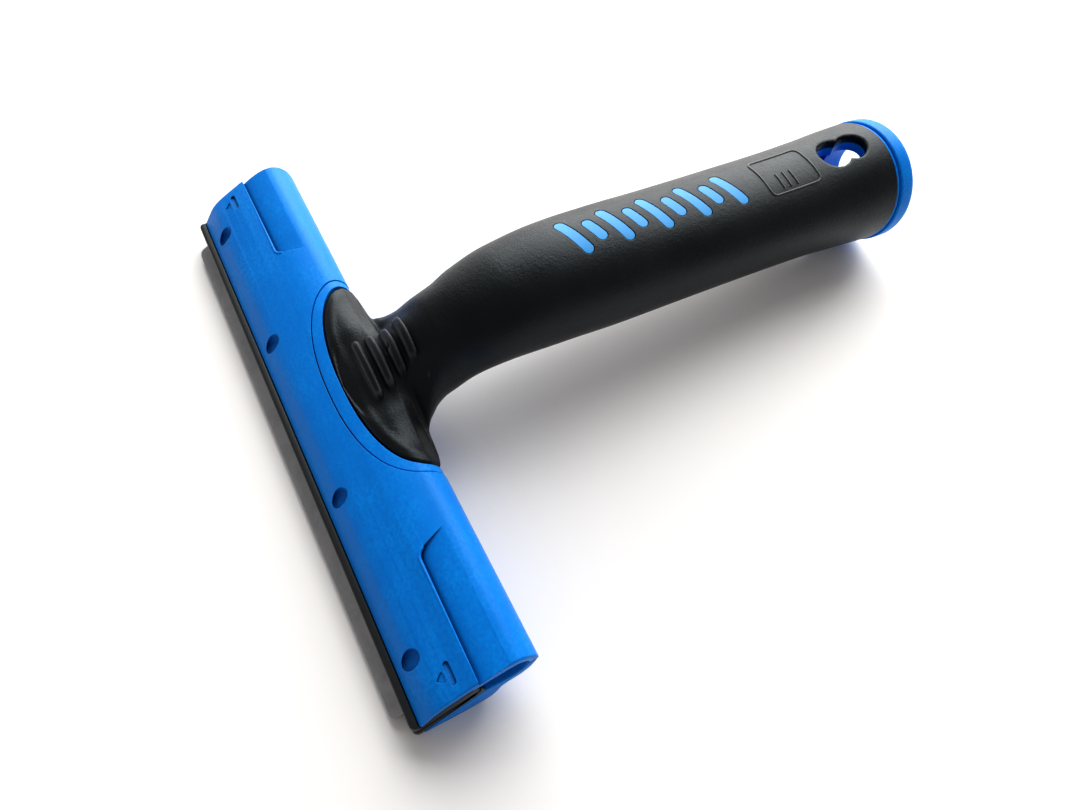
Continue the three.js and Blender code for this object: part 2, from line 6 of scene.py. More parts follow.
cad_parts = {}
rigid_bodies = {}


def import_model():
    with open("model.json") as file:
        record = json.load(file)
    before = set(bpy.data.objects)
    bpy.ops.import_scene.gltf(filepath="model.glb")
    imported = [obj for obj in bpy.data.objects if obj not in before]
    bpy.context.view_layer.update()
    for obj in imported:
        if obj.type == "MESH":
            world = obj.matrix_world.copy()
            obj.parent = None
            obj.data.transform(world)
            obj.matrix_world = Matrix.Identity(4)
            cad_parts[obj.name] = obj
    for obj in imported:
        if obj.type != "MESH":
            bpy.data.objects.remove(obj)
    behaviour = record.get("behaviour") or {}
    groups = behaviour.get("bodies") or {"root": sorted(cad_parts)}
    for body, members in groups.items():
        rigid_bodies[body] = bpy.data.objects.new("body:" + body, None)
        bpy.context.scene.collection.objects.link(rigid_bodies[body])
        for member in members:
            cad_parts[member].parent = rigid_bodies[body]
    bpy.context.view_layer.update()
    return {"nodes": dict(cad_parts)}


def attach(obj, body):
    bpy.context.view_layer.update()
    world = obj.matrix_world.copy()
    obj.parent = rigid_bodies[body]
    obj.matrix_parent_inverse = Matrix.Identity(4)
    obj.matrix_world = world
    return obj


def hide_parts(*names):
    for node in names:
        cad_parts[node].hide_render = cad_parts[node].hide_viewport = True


# Wide blade hand scraper: hollow blue head, sliding blade holder, soft grip over a tube.
# Sizes in the dictionaries are millimetres; the scene is metres, +X along the head,
# +Y from the blade to the handle's end, +Z up.

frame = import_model()
scene = bpy.context.scene
mm = 0.001


# small mesh tools
def addObject(name, verts, faces):
    mesh = bpy.data.meshes.new(name)
    mesh.from_pydata([(x * mm, y * mm, z * mm) for x, y, z in verts], [], faces)
    mesh.validate()
    mesh.update()
    obj = bpy.data.objects.new(name, mesh)
    scene.collection.objects.link(obj)
    return obj


def drop(obj):
    mesh = obj.data
    bpy.data.objects.remove(obj)
    bpy.data.meshes.remove(mesh)


def bake(obj):
    # keeps the modifiers' result as a plain mesh
    graph = bpy.context.evaluated_depsgraph_get()
    mesh = bpy.data.meshes.new_from_object(obj.evaluated_get(graph))
    old = obj.data
    obj.modifiers.clear()
    obj.data = mesh
    bpy.data.meshes.remove(old)


def combine(obj, other, operation="DIFFERENCE"):
    # cuts the other away, or joins or keeps what they share; the other is used up
    mod = obj.modifiers.new("cut", "BOOLEAN")
    mod.operation = operation
    mod.solver = "MANIFOLD"
    mod.object = other
    bake(obj)
    drop(other)
    return obj


def ringSurface(name, rings, closed=False):
    # rings of equal count, joined in order; ends capped unless the last meets the first
    count = len(rings[0])
    verts = [p for ring in rings for p in ring]
    faces = []
    steps = len(rings) if closed else len(rings) - 1
    for k in range(steps):
        a0, b0 = k * count, ((k + 1) % len(rings)) * count
        for i in range(count):
            j = (i + 1) % count
            faces.append((a0 + i, a0 + j, b0 + j, b0 + i))
    if not closed:
        faces.append(tuple(range(count - 1, -1, -1)))
        faces.append(tuple((len(rings) - 1) * count + i for i in range(count)))
    return faceOut(addObject(name, verts, faces))


def faceOut(obj):
    # a closed mesh whose volume comes out negative is turned
    volume = 0.0
    mesh = obj.data
    mesh.calc_loop_triangles()
    for tri in mesh.loop_triangles:
        a, b, c = (mesh.vertices[i].co for i in tri.vertices)
        volume += a.dot(b.cross(c))
    if volume < 0:
        mesh.flip_normals()
    return obj


def insetLoop(points, distance):
    # each corner moved inwards along its bisector; the loop runs anticlockwise
    out = []
    n = len(points)
    for i in range(n):
        (ax, ay), (bx, by), (cx, cy) = points[i - 1], points[i], points[(i + 1) % n]
        u = Vector((bx - ax, by - ay)).normalized()
        v = Vector((cx - bx, cy - by)).normalized()
        nrm = Vector((-u.y - v.y, u.x + v.x))
        if nrm.length < 1e-6:
            nrm = Vector((-u.y, u.x))
        nrm.normalize()
        lean = max(0.45, nrm.dot(Vector((-u.y, u.x))))
        out.append((bx + nrm.x * distance / lean, by + nrm.y * distance / lean))
    return out


def area(points):
    return sum(a[0] * b[1] - b[0] * a[1] for a, b in zip(points, points[1:] + points[:1])) / 2


def barAlongX(name, section, x0, x1, edge=0.0, steps=3):
    # a section in y and z run along X, its ends rounded by the edge radius
    loop = section if area(section) > 0 else section[::-1]
    rows = [(edge * (1 - math.sin(turn)), edge * (1 - math.cos(turn))) for turn in quarterTurns(steps if edge else 0)]
    ends = [(x0 + back, inset) for inset, back in rows] + [(x1 - back, inset) for inset, back in rows[::-1]]
    return ringSurface(name, [[(x, y, z) for y, z in (insetLoop(loop, inset) if inset > 1e-6 else loop)]
                              for x, inset in ends])


def plateAlongZ(name, outline, z0, z1):
    loop = outline if area(outline) > 0 else outline[::-1]
    return ringSurface(name, [[(x, y, z0) for x, y in loop], [(x, y, z1) for x, y in loop]])


def fillet(points, radii, steps=4):
    # a closed outline whose corners are rounded by their radii
    out = []
    n = len(points)
    for i in range(n):
        a, b, c = (Vector(points[(i + k) % n]) for k in (-1, 0, 1))
        r = radii[i] if isinstance(radii, (list, tuple)) else radii
        u, v = (a - b), (c - b)
        half = u.angle(v) / 2 if u.length > 1e-6 and v.length > 1e-6 else math.pi / 2
        reach = min(r / max(math.tan(half), 0.05), u.length * 0.48, v.length * 0.48)
        if r <= 0 or half > 1.5:
            out.append(tuple(b))
            continue
        start, end = b + u.normalized() * reach, b + v.normalized() * reach
        for k in range(steps + 1):
            t = k / steps
            out.append(tuple(start * (1 - t) ** 2 + b * 2 * t * (1 - t) + end * t**2))
    return out


def roundBar(x0, y0, x1, y1, width, steps=8):
    lean = math.atan2(y1 - y0, x1 - x0)
    out = []
    for x, y, start in ((x1, y1, lean - math.pi / 2), (x0, y0, lean + math.pi / 2)):
        for i in range(steps + 1):
            turn = start + i * math.pi / steps
            out.append((x + width / 2 * math.cos(turn), y + width / 2 * math.sin(turn)))
    return out


def circle(radius, x=0.0, y=0.0, count=48):
    turns = [2 * math.pi * i / count for i in range(count)]
    return [(x + radius * math.cos(turn), y + radius * math.sin(turn)) for turn in turns]


def quarterTurns(count):
    return [math.pi / 2 * i / max(count, 1) for i in range(count + 1)]


def cornerArc(half, radius, count):
    # a rounded corner in plan: across from the middle, and back from the edge
    return [(half - radius * (1 - math.cos(turn)), radius * math.sin(turn)) for turn in quarterTurns(count)]


def smoothPath(points, count):
    # a Catmull-Rom curve through the points
    out = []
    for i in range(len(points) - 1):
        p = [Vector(points[min(max(i + k, 0), len(points) - 1)]) for k in (-1, 0, 1, 2)]
        for s in range(count):
            t = s / count
            out.append(tuple(0.5 * ((2 * p[1]) + (p[2] - p[0]) * t + (2 * p[0] - 5 * p[1] + 4 * p[2] - p[3]) * t**2
                                    + (-p[0] + 3 * p[1] - 3 * p[2] + p[3]) * t**3)))
    out.append(tuple(points[-1]))
    return out


def smoothRow(rows, key, column):
    # monotone cubic through the rows of a table
    keys = [r[0] for r in rows]
    key = min(max(key, keys[0]), keys[-1])
    i = min(max(next((k for k, v in enumerate(keys) if v >= key), len(keys) - 1), 1), len(keys) - 1)

    def slope(k):
        if k <= 0 or k >= len(rows) - 1:
            k0, k1 = (0, 1) if k <= 0 else (len(rows) - 2, len(rows) - 1)
            return (rows[k1][column] - rows[k0][column]) / (keys[k1] - keys[k0])
        a = (rows[k][column] - rows[k - 1][column]) / (keys[k] - keys[k - 1])
        b = (rows[k + 1][column] - rows[k][column]) / (keys[k + 1] - keys[k])
        return 0.0 if a * b <= 0 else 2 * a * b / (a + b)

    h = keys[i] - keys[i - 1]
    t = (key - keys[i - 1]) / h
    a, b = rows[i - 1][column], rows[i][column]
    return ((2 * t**3 - 3 * t**2 + 1) * a + (t**3 - 2 * t**2 + t) * h * slope(i - 1)
            + (3 * t**2 - 2 * t**3) * b + (t**3 - t**2) * h * slope(i))


# shader tools
class Sock:
    # a value socket that can be written in sums and products
    def __init__(self, tree, socket):
        self.tree, self.socket = tree, socket

    def join(self, operation, other, swap=False):
        node = self.tree.nodes.new("ShaderNodeMath")
        node.operation = operation
        pair = [self, other][::-1] if swap else [self, other]
        for slot, value in zip(node.inputs, pair):
            if isinstance(value, Sock):
                self.tree.links.new(value.socket, slot)
            else:
                slot.default_value = value
        return Sock(self.tree, node.outputs[0])

    def __add__(self, other): return self.join("ADD", other)
    def __radd__(self, other): return self.join("ADD", other, True)
    def __mul__(self, other): return self.join("MULTIPLY", other)
    def __rmul__(self, other): return self.join("MULTIPLY", other, True)


class Look:
    # one material and the nodes that it is made of
    def __init__(self, name, **constants):
        self.material = bpy.data.materials.new(name)
        self.material.use_nodes = True
        self.tree = self.material.node_tree
        self.shader = self.tree.nodes["Principled BSDF"]
        for key, value in constants.items():
            self.shader.inputs[key.replace("_", " ")].default_value = value

    def node(self, kind, settings=None, inputs=None, out=0):
        node = self.tree.nodes.new("ShaderNode" + kind)
        for key, value in (settings or {}).items():
            setattr(node, key, value)
        for key, value in (inputs or {}).items():
            if isinstance(value, Sock):
                self.tree.links.new(value.socket, node.inputs[key])
            else:
                node.inputs[key].default_value = value
        return Sock(self.tree, node.outputs[out])

    def place(self, scale=(1, 1, 1)):
        return self.node("Mapping", {}, {"Vector": self.node("TexCoord", out=3), "Scale": scale})

    def grain(self, size, detail=2.0, roughness=0.5, scale=(1, 1, 1)):
        # fractal noise whose features are about this many millimetres
        return self.node("TexNoise", {}, {"Vector": self.place(scale), "Scale": 1000 / size,
                                          "Detail": detail, "Roughness": roughness})

    def ramp(self, value, low, high):
        return self.node("MapRange", {"clamp": True}, {"Value": value, "From Min": low, "From Max": high})

    def blend(self, share, a, b):
        node = self.tree.nodes.new("ShaderNodeMix")
        node.data_type = "RGBA"
        self.tree.links.new(share.socket, node.inputs[0])
        for slot, colour in ((6, a), (7, b)):
            if isinstance(colour, Sock):
                self.tree.links.new(colour.socket, node.inputs[slot])
            else:
                node.inputs[slot].default_value = (*colour, 1)
        return Sock(self.tree, node.outputs[2])

    def drive(self, **values):
        for key, value in values.items():
            self.tree.links.new(value.socket, self.shader.inputs[key.replace("_", " ")])

    def relief(self, height, depth, edge=0.0):
        # bump in millimetres over softened edges
        inputs = {"Height": height, "Strength": 1.0, "Distance": depth * mm}
        if edge:
            inputs["Normal"] = self.node("Bevel", {"samples": 6}, {"Radius": edge * mm})
        self.drive(Normal=self.node("Bump", {}, inputs))


# the darkest colour here is painted shade, laid into the hollows below
blueFinish = {"colour": (0.0, 0.197, 0.68), "pale": (0.0, 0.255, 0.79), "deep": (0.0, 0.188, 0.66),
              "grime": (0.0, 0.03, 0.14), "grimeReach": 9}
bluePlastic = Look("bluePlastic", Roughness=0.4, Specular_IOR_Level=0.14)
mottle = bluePlastic.ramp(bluePlastic.grain(9, 3), 0.3, 0.7)
spark = bluePlastic.grain(0.42, 2, 0.6)
openness = bluePlastic.node("AmbientOcclusion", {"samples": 8, "only_local": True},
                            {"Distance": blueFinish["grimeReach"] * mm}, 1)
plainBlue = bluePlastic.blend(bluePlastic.ramp(bluePlastic.grain(0.8, 2), 0.35, 0.65), blueFinish["deep"],
                              bluePlastic.blend(mottle, blueFinish["colour"], blueFinish["pale"]))
# painted shade: the hollows are darkened towards the shade colour, read from ambient occlusion
bluePlastic.drive(Base_Color=bluePlastic.blend(bluePlastic.ramp(openness, 0.3, 0.8), blueFinish["grime"], plainBlue),
                  Roughness=0.36 + 0.08 * mottle + 0.10 * spark)
bluePlastic.relief(spark + 0.35 * bluePlastic.grain(2.5, 1), 0.014, edge=0.3)

inlayBlue = Look("inlayBlue", Roughness=0.42, Specular_IOR_Level=0.3)
inlayGrain = inlayBlue.grain(0.5, 2)
inlayBlue.drive(Base_Color=inlayBlue.blend(inlayGrain, (0.008, 0.24, 0.6), (0.016, 0.29, 0.68)),
                Roughness=0.36 + 0.12 * inlayGrain)
inlayBlue.relief(inlayGrain, 0.015, edge=0.15)

# the pale colour serves both the dust specks and the painted highlight on the ribs' edges
gripFinish = {"colour": (0.003, 0.0035, 0.0045), "worn": (0.03, 0.033, 0.038),
              "ribsTo": 25.8, "fadeBack": 1.2, "ribsHalf": 10.5, "fadeSide": 1}
softGrip = Look("softGrip", Roughness=0.5, Specular_IOR_Level=0.28, Specular_Tint=(0.8, 0.93, 1, 1))
gripDust = softGrip.ramp(softGrip.grain(0.55, 3, 0.65), 0.66, 0.78)
gripCloud = softGrip.ramp(softGrip.grain(14, 3), 0.35, 0.7)
gripFine = softGrip.grain(0.42, 3, 0.6)
spotX, spotY = (softGrip.node("SeparateXYZ", {}, {"Vector": softGrip.place()}, axis) for axis in (0, 1))
alongNeck = softGrip.ramp(spotY, (gripFinish["ribsTo"] + gripFinish["fadeBack"]) * mm, gripFinish["ribsTo"] * mm)
acrossNeck = softGrip.ramp(spotX * spotX, ((gripFinish["ribsHalf"] + gripFinish["fadeSide"]) * mm) ** 2,
                           (gripFinish["ribsHalf"] * mm) ** 2)
# painted highlight: only the ribs' edges are made paler, as where they catch the light
ribEdgeHighlight = alongNeck * acrossNeck * softGrip.ramp(softGrip.node("NewGeometry", out=7), 0.504, 0.53)
# pale dust specks and random tone, plus the painted highlight on the ribs' edges
gripDustAndHighlight = 0.4 * gripDust + 0.12 * gripCloud + 0.9 * ribEdgeHighlight
softGrip.drive(Base_Color=softGrip.blend(gripDustAndHighlight, gripFinish["colour"], gripFinish["worn"]),
               Roughness=0.31 + 0.14 * gripFine + 0.08 * gripCloud)
softGrip.relief(gripFine + 0.8 * softGrip.grain(1.1, 2), 0.085, edge=0.3)

# painted highlight: the thin raised lines are paler all over, standing in for the light along them
litGrip = Look("litGrip", Roughness=0.42, Specular_IOR_Level=0.4)
litGripFine = litGrip.grain(0.5, 3, 0.6)
litGripTone = litGrip.ramp(litGripFine, 0.35, 0.65)
litGrip.drive(Base_Color=litGrip.blend(litGripTone, (0.02, 0.022, 0.025), (0.07, 0.074, 0.08)),
                 Roughness=0.34 + 0.16 * litGripFine)
litGrip.relief(litGripFine, 0.012)

holderPlastic = Look("holderPlastic", Roughness=0.4, Specular_IOR_Level=0.3)
holderFine = holderPlastic.grain(0.4, 2)
holderPlastic.drive(Base_Color=holderPlastic.blend(holderFine, (0.009, 0.011, 0.012), (0.018, 0.021, 0.022)),
                    Roughness=0.32 + 0.16 * holderFine)
holderPlastic.relief(holderFine, 0.018, edge=0.25)

bladeSteel = Look("bladeSteel", Metallic=1.0, Roughness=0.4)
bladeLines = bladeSteel.grain(0.5, 4, 0.7, scale=(0.02, 1, 1))
bladeStains = bladeSteel.ramp(bladeSteel.grain(7, 3, 0.6), 0.45, 0.75)
bladeSteel.drive(Base_Color=bladeSteel.blend(bladeStains, (0.36, 0.365, 0.375), (0.27, 0.275, 0.29)),
                 Roughness=0.26 + 0.22 * bladeLines + 0.08 * bladeStains)
bladeSteel.relief(bladeLines, 0.004)

zincSteel = Look("zincSteel", Metallic=1.0, Roughness=0.35)
zincGrain = zincSteel.grain(0.6, 3)
zincSteel.drive(Base_Color=zincSteel.blend(zincGrain, (0.2, 0.2, 0.205), (0.34, 0.34, 0.34)),
                Roughness=0.25 + 0.2 * zincGrain)
zincSteel.relief(zincGrain, 0.006)


def finishPiece(obj, name, body, look, nodes, angle=34):
    obj.name = name
    obj.data.name = name
    obj.data.materials.clear()
    obj.data.materials.append(look.material)
    obj.data.shade_smooth()
    obj.data.set_sharp_from_angle(angle=math.radians(angle))
    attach(obj, body)
    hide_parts(*nodes)
    print(name, len(obj.data.polygons), "faces")


# shared lines of the head and the blade
blade = {"length": 150, "depth": 19, "thick": 0.6, "tilt": 26.5, "edge": (-13.3, 1.85), "gap": 0.25, "corner": 1.8}
holder = {"length": 160, "lowJaw": 1.9, "highJaw": 3.1, "spine": 1.8, "clear": 1.2, "slide": 0.3, "edge": 0.4,
          "corner": 1.6, "cornerFrom": -8.7}
pins = {"x": [-67.5, -25, 25, 67.5], "radius": 1.4, "depth": 12, "clearance": 0.15, "bladeGap": 0.3, "buried": 0.5,
        "high": 2.7}
lean = (math.cos(math.radians(blade["tilt"])), math.sin(math.radians(blade["tilt"])))


def onBlade(u, n):
    # u back from the cutting edge and n above the blade's middle, as y and z
    return (blade["edge"][0] + u * lean[0] - n * lean[1], blade["edge"][1] + u * lean[1] + n * lean[0])


jawHalf = blade["thick"] / 2 + blade["gap"]
highTop = jawHalf + holder["highJaw"]
lowUnder = -jawHalf - holder["lowJaw"]
slotEnd = blade["depth"] + holder["clear"]
holderBack = slotEnd + holder["spine"]
roofHeight = highTop + holder["slide"]
bedHeight = lowUnder - holder["slide"]

head = {"length": 160, "edge": 0.45}
halfHead = head["length"] / 2
topLine = smoothPath([(-8.2, 7.7), (-5.1, 11.9), (-3.1, 13.7), (-0.8, 15.1), (1.5, 16.3), (3.7, 17.4), (5.6, 18.3),
                      (9.4, 19.6), (13.8, 20.2), (15.9, 19.8), (17.7, 18.6), (19.2, 16.5), (20, 13.8)], 5)


def topAt(y):
    for (y0, z0), (y1, z1) in zip(topLine, topLine[1:]):
        if y0 <= y <= y1:
            return z0 + (z1 - z0) * (y - y0) / (y1 - y0)
    return topLine[0][1] if y < topLine[0][0] else topLine[-1][1]


roofLine = [onBlade(6.8, 1.62), onBlade(7.6, 1.75), onBlade(11.3, highTop - 0.35), onBlade(14.2, roofHeight),
            onBlade(holderBack - 1, roofHeight), (6.6, 15), (9.2, 15.9), (12.4, 16.9), (14.8, 17.3), (16.2, 16.6),
            (17.2, 15.4), (17.6, 13.8)]
neck = {"halfWidth": 32.3, "front": 3.0, "centre": 19.5, "power": 2.3, "bandSide": 2.5, "bandFront": 3.8}


def neckLine(halfWidth, front, grow=0.0, back=30.0, count=72):
    out = [(halfWidth + grow, back), (-halfWidth - grow, back)]
    for i in range(count + 1):
        turn = math.pi * i / count
        across = -math.copysign(abs(math.cos(turn)) ** (2 / neck["power"]), math.cos(turn))
        down = math.sin(turn) ** (2 / neck["power"])
        out.append(((halfWidth + grow) * across, neck["centre"] - (neck["centre"] - front + grow) * down))
    return out


shieldHalf = neck["halfWidth"] - neck["bandSide"]
shieldFront = neck["front"] + neck["bandFront"]

# head, upper shell
recess = {"length": 31.5, "front": 5.9, "back": 13.4, "depth": 1.4, "taper": 7.0, "corner": 2.8, "lip": 0.32}
dimple = {"radius": 2.15, "y": -4.5, "floor": 10.35, "rise": 0.77, "shift": 0.5,
          "rings": [(0.72, 0.0), (0.8, 0.12), (0.92, 0.5), (1.0, 1.1), (1.0, 9.0)]}
arrow = {"inset": 5.2, "slot": (1.6, 2, 1.3, 15.75), "tip": (0.3, -1.6, 1.4), "sunk": 0.3}
boss = {"radius": 3.0, "y": 15.6, "x": [-70, -42, 42, 70], "bore": 1.35, "sink": 2.55, "sinkTo": 8.4}
pastEnd, overTop = 84, 40  # where cutters end, clear of the head

upperShell = barAlongX("upperShell", topLine + roofLine[::-1], -halfHead, halfHead, head["edge"])
combine(upperShell, plateAlongZ("neckCut", neckLine(neck["halfWidth"], neck["front"]), 5, overTop))
for side in (-1, 1):
    inner, outer, rear = side * (halfHead - recess["length"]), side * pastEnd, recess["back"] + 0.4
    # the floor sinks from the lip and rises into the bulge behind
    plan = fillet([(outer, recess["front"]), (inner, recess["front"]), (inner - side * recess["corner"], rear),
                   (outer, rear)], [0, recess["corner"], 0.3, 0], 8)
    floorLine = []
    for y in [recess["front"] - 2 + 0.3 * i for i in range(34)]:
        if y <= recess["back"] + 0.5:
            sink = max(0.0, min(1.0, (recess["back"] - y) / recess["taper"]))
            floorLine.append((y, topAt(y) - recess["depth"] * sink))
    body = barAlongX("recessBody", floorLine + [(floorLine[-1][0], 30), (floorLine[0][0], 30)], -85, 85)
    combine(body, plateAlongZ("recessPlan", plan, 5, overTop), "INTERSECT")
    combine(upperShell, body)
    # the raised lip along the front and round the inner corner
    path = [p for p in plan if abs(p[0]) < pastEnd - 1 and p[1] < recess["back"] - 1.5]
    start = (side * (halfHead - 0.3), recess["front"])
    path = [start] + (path[::-1] if (path[0][0] - start[0]) * side > 0 else path)
    rings = []
    for i, (x, y) in enumerate(path):
        a, b = path[max(i - 1, 0)], path[min(i + 1, len(path) - 1)]
        way = Vector((b[0] - a[0], b[1] - a[1])).normalized()
        fade = 0.25 if i in (0, len(path) - 1) else 1.0
        rings.append([(x + way.y * across, y - way.x * across, topAt(y) + recess["lip"] * (rise - 0.35))
                      for across, rise in [(recess["lip"] * 1.2 * a, b) for a, b in circle(fade, count=12)]])
    combine(upperShell, ringSurface("lip", rings), "UNION")
for x in pins["x"]:
    # a round pocket whose floor runs out towards the blade
    rings = []
    for share, lift in dimple["rings"]:
        ring = circle(dimple["radius"] * share, x, dimple["y"] + dimple["shift"] * (1 - share), 32)
        rings.append([(px, py, dimple["floor"] + lift + dimple["rise"] * (py - dimple["y"])) for px, py in ring])
    combine(upperShell, ringSurface("dimple", rings))
for side in (-1, 1):
    x = side * (halfHead - arrow["inset"])
    y, half, width, bottom = arrow["slot"]
    combine(upperShell, plateAlongZ("arrowSlot", roundBar(x - half, y, x + half, y, width), bottom, overTop))
    back, point, half = arrow["tip"]
    tip = fillet([(x + half, back), (x - half, back), (x, point)], 0.3)
    combine(upperShell, ringSurface("arrowTip", [[(px, py, topAt(py) - arrow["sunk"]) for px, py in tip],
                                                 [(px, py, overTop) for px, py in tip]]))
bossLimit = [(8, 11.2), (15.8, 11.2), (16.7, 13), (16.9, 13.8), (19, 13.8)] + [
    (y, z - 0.7) for y, z in topLine[::-1] if 8 < y < 18.4]
for x in boss["x"]:
    post = plateAlongZ("post", circle(boss["radius"], x, boss["y"], 32), 11.2, 19)
    combine(post, barAlongX("limit", bossLimit, -halfHead, halfHead), "INTERSECT")
    combine(upperShell, post, "UNION")
    combine(upperShell, plateAlongZ("bore", circle(boss["bore"], x, boss["y"], 20), 5, 17.4))
finishPiece(upperShell, "upperShell", "head", bluePlastic, ["head_upper_shell"])

# head, lower shell
underLine = smoothPath([(2, 0), (6, 0.6), (8.2, 1.3), (9.6, 2.6), (10.4, 4), (11.2, 5.6), (13.1, 6.7), (15.3, 7.35),
                        (17.4, 8.9), (18.7, 10.9), (19.7, 13.5)], 4)
innerUnder = [(17.3, 13.5), (16.6, 11.7), (15.4, 10.4), (13.6, 9.6), (11, 9.4),
              onBlade(holderBack + holder["slide"], bedHeight), onBlade(4.75, bedHeight)]
lowerShell = barAlongX("lowerShell", [(-8, 0.5), (-7.8, 0.14), (-7.4, 0)] + underLine + innerUnder,
                       -halfHead, halfHead, head["edge"])
tongue = {"halfWidth": 27.5, "floor": 9.9, "back": 20.0, "gap": 0.4}
for x in boss["x"]:
    combine(lowerShell, plateAlongZ("post", circle(boss["radius"], x, boss["y"], 32), 9, 10.9), "UNION")
notchHalf = tongue["halfWidth"] + tongue["gap"]
combine(lowerShell, barAlongX("notch", [(14, 9.6), (24, 9.6), (24, 20), (14, 20)], -notchHalf, notchHalf))
neckScrewX = [-15, 15]
screwX = boss["x"] + neckScrewX
for x in screwX:
    combine(lowerShell, plateAlongZ("sink", circle(boss["sink"], x, boss["y"], 32), 3, boss["sinkTo"]))
    combine(lowerShell, plateAlongZ("bore", circle(boss["bore"], x, boss["y"], 20), 3, 14))
springBed = {"u": 14, "x": 44, "reach": 9, "half": 2.9, "deep": 1.6}
pocket = [onBlade(springBed["u"] + across * springBed["half"], n)
          for across, n in ((-1, bedHeight - springBed["deep"]), (1, bedHeight - springBed["deep"]), (1, 0), (-1, 0))]
for side in (-1, 1):
    middle = side * springBed["x"]
    combine(lowerShell, barAlongX("bed", pocket, middle - springBed["reach"], middle + springBed["reach"]))
finishPiece(lowerShell, "lowerShell", "head", bluePlastic, ["head_lower_shell"])

# blade holder
halfHolder = holder["length"] / 2
highJaw = fillet([onBlade(3.6, jawHalf), onBlade(holderBack, jawHalf), onBlade(holderBack, highTop),
                  onBlade(14.3, highTop), onBlade(11.5, highTop - 0.75), onBlade(7.8, 1.4), onBlade(6.5, 1.25),
                  (-8.5, 7.8), (-10.3, 7.8)],
                 [0.15, 0.15, 0.7, 1.0, 1.0, 0.6, 0.4, 0.2, 0.9])
lowJaw = fillet([onBlade(3.6, -jawHalf), (-10.25, 0.95), (-8.5, 0.9), onBlade(5.2, lowUnder),
                 onBlade(holderBack, lowUnder), onBlade(holderBack, jawHalf - 0.3), onBlade(slotEnd, jawHalf - 0.3),
                 onBlade(slotEnd, -jawHalf)],
                [0.15, 0.6, 0.3, 0.4, 0.7, 0.15, 0.15, 0.1])
noseCut = [(halfHolder + 1, -12), (halfHolder + 1, holder["cornerFrom"])]
noseCut += [(across, holder["cornerFrom"] - back) for across, back in cornerArc(halfHolder, holder["corner"], 6)]
noseCut.append((halfHolder - holder["corner"], -12))
pinRing = circle(pins["radius"] + pins["clearance"], count=24)
for section, name, node in ((highJaw, "holderUpperJaw", "holder_upper_jaw"),
                            (lowJaw, "holderLowerJaw", "holder_lower_jaw")):
    jaw = barAlongX(name, section, -halfHolder, halfHolder, holder["edge"])
    # the nose's corners are rounded in plan
    for side in (-1, 1):
        combine(jaw, plateAlongZ("corner", [(side * x, y) for x, y in noseCut], -3, 12))
    for x in pins["x"]:
        ends = [onBlade(pins["depth"], n) for n in (-6, 8)]
        combine(jaw, ringSurface("pinHole", [[(x + a, y + b * lean[0], z + b * lean[1]) for a, b in pinRing]
                                             for y, z in ends]))
    finishPiece(jaw, name, "holder", holderPlastic, [node])

# blade
halfBlade = blade["length"] / 2
corner = [(across, blade["corner"] - back) for across, back in cornerArc(halfBlade, blade["corner"], 8)]
outline = [(-halfBlade, blade["depth"])] + [(-x, u) for x, u in corner] + corner[::-1] + [(halfBlade, blade["depth"])]
slotHalf = pins["radius"] + pins["bladeGap"]
for x in pins["x"][::-1]:
    outline.append((x + slotHalf, blade["depth"]))
    outline += [(a, 2 * pins["depth"] - b) for a, b in circle(slotHalf, x, pins["depth"], 32)[:17]]
    outline.append((x - slotHalf, blade["depth"]))


def bladeRing(n):
    return [(x, *onBlade(u, n)) for x, u in outline]


steelBlade = ringSurface("steelBlade", [bladeRing(-blade["thick"] / 2), bladeRing(blade["thick"] / 2)])
# the edge is honed in two steps
for hone in ([(-1, -0.02), (1.5, 0.32), (1.5, 2), (-1, 2)], [(-0.2, -0.06), (0.45, 0.06), (0.45, 2), (-0.2, 2)]):
    combine(steelBlade, barAlongX("hone", [onBlade(u, n) for u, n in hone], -halfBlade - 1, halfBlade + 1))
finishPiece(steelBlade, "steelBlade", "blade", bladeSteel, ["blade"], 12)
print("head, holder and blade made")

# handle shape
# walls are inset from the skin; the neck is kept narrow inside, under its flare
handle = {"start": 20.3, "length": 146.3, "wall": 2.6, "coreWall": 2.6, "gap": 0.3, "tilt": -8, "bellReach": 12.5,
          "shield": 1.7, "shieldEdge": 1.1, "neckHalf": 13.6}
anyWidth = 99.0
# distance along, ridge, floor, height of the sides, share of the bell shape, half width
gripRows = [(-13.6, 19.1, 14, 18.7, 1, 29.8), (-10.3, 20.5, 14, 19.7, 1, 29.8), (-6.8, 22.4, 13, 20.1, 1, 29.8),
            (-2.8, 24.9, 10, 18.7, 1, 29.8), (-0.8, 26.3, 8.2, 16.2, 1, 29.8), (0.3, 27.1, 7.6, 14.8, 0.95, 26.4),
            (0.9, 27.6, 7.3, 14.8, 0.85, 19.6), (2.2, 28.6, 7, 16, 0.7, 17.4), (4.2, 30.2, 6.9, 17, 0.5, 15.5),
            (6.7, 31.9, 7, 18.2, 0.25, 13.7), (9.7, 33.4, 7.6, 19.8, 0, 12.8), (14.7, 35.6, 10.1, 21.8, 0, 12.8)]
for share, *rest in ((0.142, 37.8, 13.2, 24.7, 0, 13.9), (0.213, 40.7, 12, 27.6, 0, 14.8),
                     (0.297, 41.8, 10.6, 28.1, 0, 15.5), (0.408, 40.8, 9.5, 26.7, 0, 16.1),
                     (0.538, 38.6, 8.6, 25.1, 0, 16.2), (0.676, 36.8, 7.3, 23.5, 0, 16.3),
                     (0.824, 35.2, 5.2, 21.7, 0, 16.5), (0.9, 35, 3.2, 20.5, 0, 16.8),
                     (0.955, 35.1, 2.1, 19.5, 0, 17.2), (1.035, 34.9, 0.5, 17.6, 0, 17.6)):
    gripRows.append((share * handle["length"], *rest))
seamY = handle["start"] + handle["length"]


